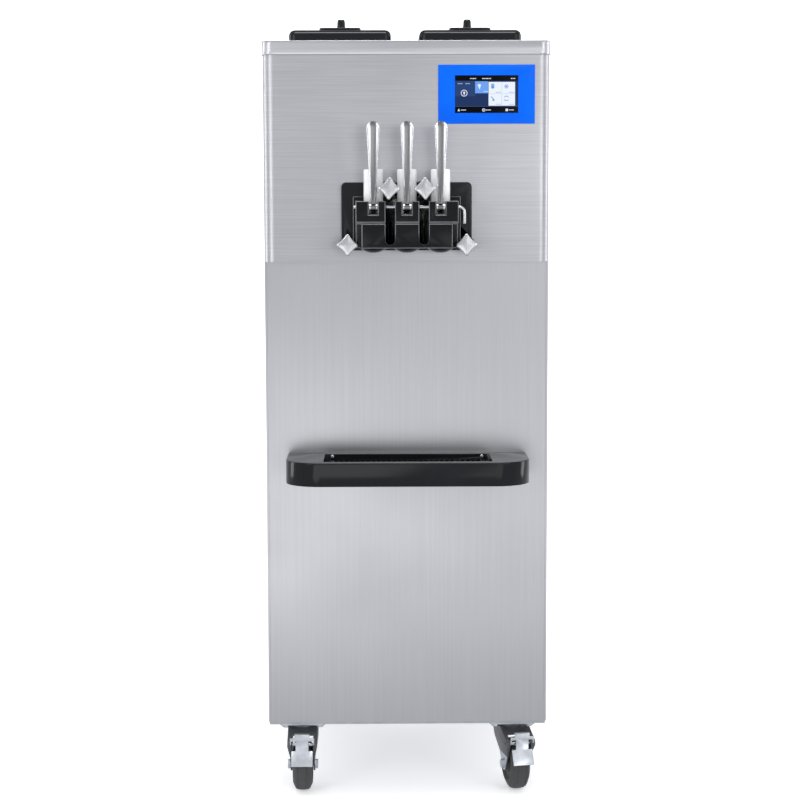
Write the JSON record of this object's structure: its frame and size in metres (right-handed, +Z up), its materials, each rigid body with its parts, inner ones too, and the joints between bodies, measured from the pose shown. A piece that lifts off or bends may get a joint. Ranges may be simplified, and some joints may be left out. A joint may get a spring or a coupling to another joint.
{
  "type": "soft serve machine",
  "caption": "Floor-standing soft serve machine: stainless cabinet on casters, twin lidded hoppers, dispensing head with draw levers, touch display and drip tray.",
  "frame": {"origin": "on the floor, under the middle of the overall bounding box", "axes": "+Z up, -Y towards the operator in front, +X to the right as seen from the front"},
  "size_m": [0.5446, 0.8, 1.513],
  "materials": {
    "stainless": "brushed, satin",
    "galvanised": "plain galvanised sheet",
    "polished": "polished stainless",
    "black_gloss": "smooth moulded",
    "black_head": "machined and polished",
    "white_plastic": "smooth",
    "blue_panel": "smooth",
    "screen_glass": "clear over a display",
    "zinc": "bright zinc plate",
    "dark_paint": "dark grey powder coat",
    "tyre": "moulded grey",
    "machine_paint": "black enamel",
    "cast": "as cast",
    "aluminium": "plain",
    "black_plastic": "moulded",
    "rubber": "moulded"
  },
  "bodies": {
    "machine": {"base_chassis": "galvanised", "cable_gland": "black_plastic", "caster_plates": "zinc", "compressor": "machine_paint", "condenser": "aluminium", "control_box": "machine_paint", "dispensing_head": "black_head", "display_bezel": "blue_panel", "display_screen": "screen_glass", "drip_tray": "black_gloss", "drive_belts": "rubber", "drive_motor": "machine_paint", "face_plate": "black_gloss", "freezing_cylinder_left": "stainless", "freezing_cylinder_right": "stainless", "gearboxes": "cast", "head_seals": "rubber", "head_studs": "polished", "hopper_left": "stainless", "hopper_right": "stainless", "inner_frame": "galvanised", "left_side_panel": "stainless", "lower_front_panel": "stainless", "nozzle_caps": "black_gloss", "panel_screws": "polished", "rear_panel": "stainless", "right_side_panel": "stainless", "top_deck": "stainless", "upper_housing": "stainless"},
    "lever_left": {"lever_left": "polished"},
    "plunger_left": {"plunger_left": "white_plastic"},
    "lever_centre": {"lever_centre": "polished"},
    "plunger_centre": {"plunger_centre": "white_plastic"},
    "lever_right": {"lever_right": "polished"},
    "plunger_right": {"plunger_right": "white_plastic"},
    "pivot_pin": {"pivot_pin": "polished"},
    "star_knob_upper_left": {"star_knob_upper_left": "polished"},
    "star_knob_upper_right": {"star_knob_upper_right": "polished"},
    "star_knob_lower_left": {"star_knob_lower_left": "polished"},
    "star_knob_lower_right": {"star_knob_lower_right": "polished"},
    "hopper_lid_left": {"hopper_lid_left": "black_gloss"},
    "hopper_lid_right": {"hopper_lid_right": "black_gloss"},
    "drip_pan": {"drip_pan": "black_gloss"},
    "drip_grid": {"drip_grid": "black_gloss"},
    "beater_left": {"beater_left": "polished"},
    "beater_right": {"beater_right": "polished"},
    "gearbox_pulley_left": {"gearbox_pulley_left": "aluminium"},
    "gearbox_pulley_right": {"gearbox_pulley_right": "aluminium"},
    "motor_pulley": {"motor_pulley": "aluminium"},
    "condenser_fan": {"condenser_fan": "black_plastic"},
    "caster_fork_front_left": {"caster_fork_front_left": "dark_paint"},
    "caster_fork_front_right": {"caster_fork_front_right": "dark_paint"},
    "caster_fork_rear_left": {"caster_fork_rear_left": "dark_paint"},
    "caster_fork_rear_right": {"caster_fork_rear_right": "dark_paint"},
    "caster_wheel_front_left": {"caster_wheel_front_left": "tyre"},
    "caster_wheel_front_right": {"caster_wheel_front_right": "tyre"},
    "caster_wheel_rear_left": {"caster_wheel_rear_left": "tyre"},
    "caster_wheel_rear_right": {"caster_wheel_rear_right": "tyre"},
    "brake_pedal_front_left": {"brake_pedal_front_left": "zinc"},
    "brake_pedal_front_right": {"brake_pedal_front_right": "zinc"}
  },
  "joints": [
    {"name": "lever_left_pull", "type": "hinge", "parent": "machine", "child": "lever_left", "pos_m": [-0.0625, -0.336, 1.136], "axis": [1, 0, 0], "range_deg": [0, 45]},
    {"name": "plunger_left_lift", "type": "slide", "parent": "machine", "child": "plunger_left", "axis": [0, 0, 1], "range_m": [0, 0.02]},
    {"name": "lever_centre_pull", "type": "hinge", "parent": "machine", "child": "lever_centre", "pos_m": [0, -0.336, 1.136], "axis": [1, 0, 0], "range_deg": [0, 45]},
    {"name": "plunger_centre_lift", "type": "slide", "parent": "machine", "child": "plunger_centre", "axis": [0, 0, 1], "range_m": [0, 0.02]},
    {"name": "lever_right_pull", "type": "hinge", "parent": "machine", "child": "lever_right", "pos_m": [0.0625, -0.336, 1.136], "axis": [1, 0, 0], "range_deg": [0, 45]},
    {"name": "plunger_right_lift", "type": "slide", "parent": "machine", "child": "plunger_right", "axis": [0, 0, 1], "range_m": [0, 0.02]},
    {"name": "pivot_pin_pull", "type": "slide", "parent": "machine", "child": "pivot_pin", "axis": [1, 0, 0], "range_m": [0, 0.215]},
    {"name": "star_knob_upper_left_turn", "type": "hinge", "parent": "machine", "child": "star_knob_upper_left", "pos_m": [-0.03325, -0.292, 1.17], "axis": [0, 1, 0], "continuous": true},
    {"name": "star_knob_upper_right_turn", "type": "hinge", "parent": "machine", "child": "star_knob_upper_right", "pos_m": [0.03325, -0.292, 1.17], "axis": [0, 1, 0], "continuous": true},
    {"name": "star_knob_lower_left_turn", "type": "hinge", "parent": "machine", "child": "star_knob_lower_left", "pos_m": [-0.111, -0.292, 1.066], "axis": [0, 1, 0], "continuous": true},
    {"name": "star_knob_lower_right_turn", "type": "hinge", "parent": "machine", "child": "star_knob_lower_right", "pos_m": [0.111, -0.292, 1.066], "axis": [0, 1, 0], "continuous": true},
    {"name": "hopper_lid_left_lift", "type": "slide", "parent": "machine", "child": "hopper_lid_left", "axis": [0, 0, 1], "range_m": [0, 0.3]},
    {"name": "hopper_lid_right_lift", "type": "slide", "parent": "machine", "child": "hopper_lid_right", "axis": [0, 0, 1], "range_m": [0, 0.3]},
    {"name": "drip_pan_lift", "type": "slide", "parent": "machine", "child": "drip_pan", "axis": [0, 0, 1], "range_m": [0, 0.12]},
    {"name": "drip_grid_lift", "type": "slide", "parent": "drip_pan", "child": "drip_grid", "axis": [0, 0, 1], "range_m": [0, 0.08]},
    {"name": "motor_pulley_spin", "type": "hinge", "parent": "machine", "child": "motor_pulley", "pos_m": [0, 0.134, 0.9], "axis": [0, 1, 0], "continuous": true},
    {"name": "gearbox_pulley_left_spin", "type": "hinge", "parent": "machine", "child": "gearbox_pulley_left", "pos_m": [-0.055, 0.12, 1.107], "axis": [0, 1, 0], "continuous": true},
    {"name": "beater_left_spin", "type": "hinge", "parent": "machine", "child": "beater_left", "pos_m": [-0.055, 0.06, 1.107], "axis": [0, 1, 0], "continuous": true},
    {"name": "gearbox_pulley_right_spin", "type": "hinge", "parent": "machine", "child": "gearbox_pulley_right", "pos_m": [0.055, 0.12, 1.107], "axis": [0, 1, 0], "continuous": true},
    {"name": "beater_right_spin", "type": "hinge", "parent": "machine", "child": "beater_right", "pos_m": [0.055, 0.06, 1.107], "axis": [0, 1, 0], "continuous": true},
    {"name": "condenser_fan_spin", "type": "hinge", "parent": "machine", "child": "condenser_fan", "pos_m": [0.1645, 0.08, 0.306], "axis": [1, 0, 0], "continuous": true},
    {"name": "caster_front_left_swivel", "type": "hinge", "parent": "machine", "child": "caster_fork_front_left", "pos_m": [-0.205, -0.2, 0.113], "axis": [0, 0, 1], "continuous": true},
    {"name": "caster_front_left_roll", "type": "hinge", "parent": "caster_fork_front_left", "child": "caster_wheel_front_left", "pos_m": [-0.205, -0.235, 0.05], "axis": [1, 0, 0], "continuous": true},
    {"name": "brake_pedal_front_left_rock", "type": "hinge", "parent": "caster_fork_front_left", "child": "brake_pedal_front_left", "pos_m": [-0.205, -0.26457, 0.09732], "axis": [1, 0, 0], "range_deg": [-20, 0]},
    {"name": "caster_front_right_swivel", "type": "hinge", "parent": "machine", "child": "caster_fork_front_right", "pos_m": [0.205, -0.2, 0.113], "axis": [0, 0, 1], "continuous": true},
    {"name": "caster_front_right_roll", "type": "hinge", "parent": "caster_fork_front_right", "child": "caster_wheel_front_right", "pos_m": [0.21228, -0.23423, 0.05], "axis": [0.9781, 0.2079, 0], "continuous": true},
    {"name": "brake_pedal_front_right_rock", "type": "hinge", "parent": "caster_fork_front_right", "child": "brake_pedal_front_right", "pos_m": [0.21843, -0.26316, 0.09732], "axis": [0.9781, 0.2079, 0], "range_deg": [-20, 0]},
    {"name": "caster_rear_left_swivel", "type": "hinge", "parent": "machine", "child": "caster_fork_rear_left", "pos_m": [-0.205, 0.334, 0.113], "axis": [0, 0, 1], "continuous": true},
    {"name": "caster_rear_left_roll", "type": "hinge", "parent": "caster_fork_rear_left", "child": "caster_wheel_rear_left", "pos_m": [-0.205, 0.299, 0.05], "axis": [1, 0, 0], "continuous": true},
    {"name": "caster_rear_right_swivel", "type": "hinge", "parent": "machine", "child": "caster_fork_rear_right", "pos_m": [0.205, 0.334, 0.113], "axis": [0, 0, 1], "continuous": true},
    {"name": "caster_rear_right_roll", "type": "hinge", "parent": "caster_fork_rear_right", "child": "caster_wheel_rear_right", "pos_m": [0.205, 0.299, 0.05], "axis": [1, 0, 0], "continuous": true}
  ],
  "couplings": [
    {"joint": "plunger_left_lift", "follows": "lever_left_pull", "m_per_rad": 0.025337},
    {"joint": "plunger_centre_lift", "follows": "lever_centre_pull", "m_per_rad": 0.025337},
    {"joint": "plunger_right_lift", "follows": "lever_right_pull", "m_per_rad": 0.025337},
    {"joint": "gearbox_pulley_left_spin", "follows": "motor_pulley_spin", "ratio": 0.57692},
    {"joint": "beater_left_spin", "follows": "motor_pulley_spin", "ratio": 0.11539},
    {"joint": "gearbox_pulley_right_spin", "follows": "motor_pulley_spin", "ratio": 0.57692},
    {"joint": "beater_right_spin", "follows": "motor_pulley_spin", "ratio": 0.11539}
  ]
}
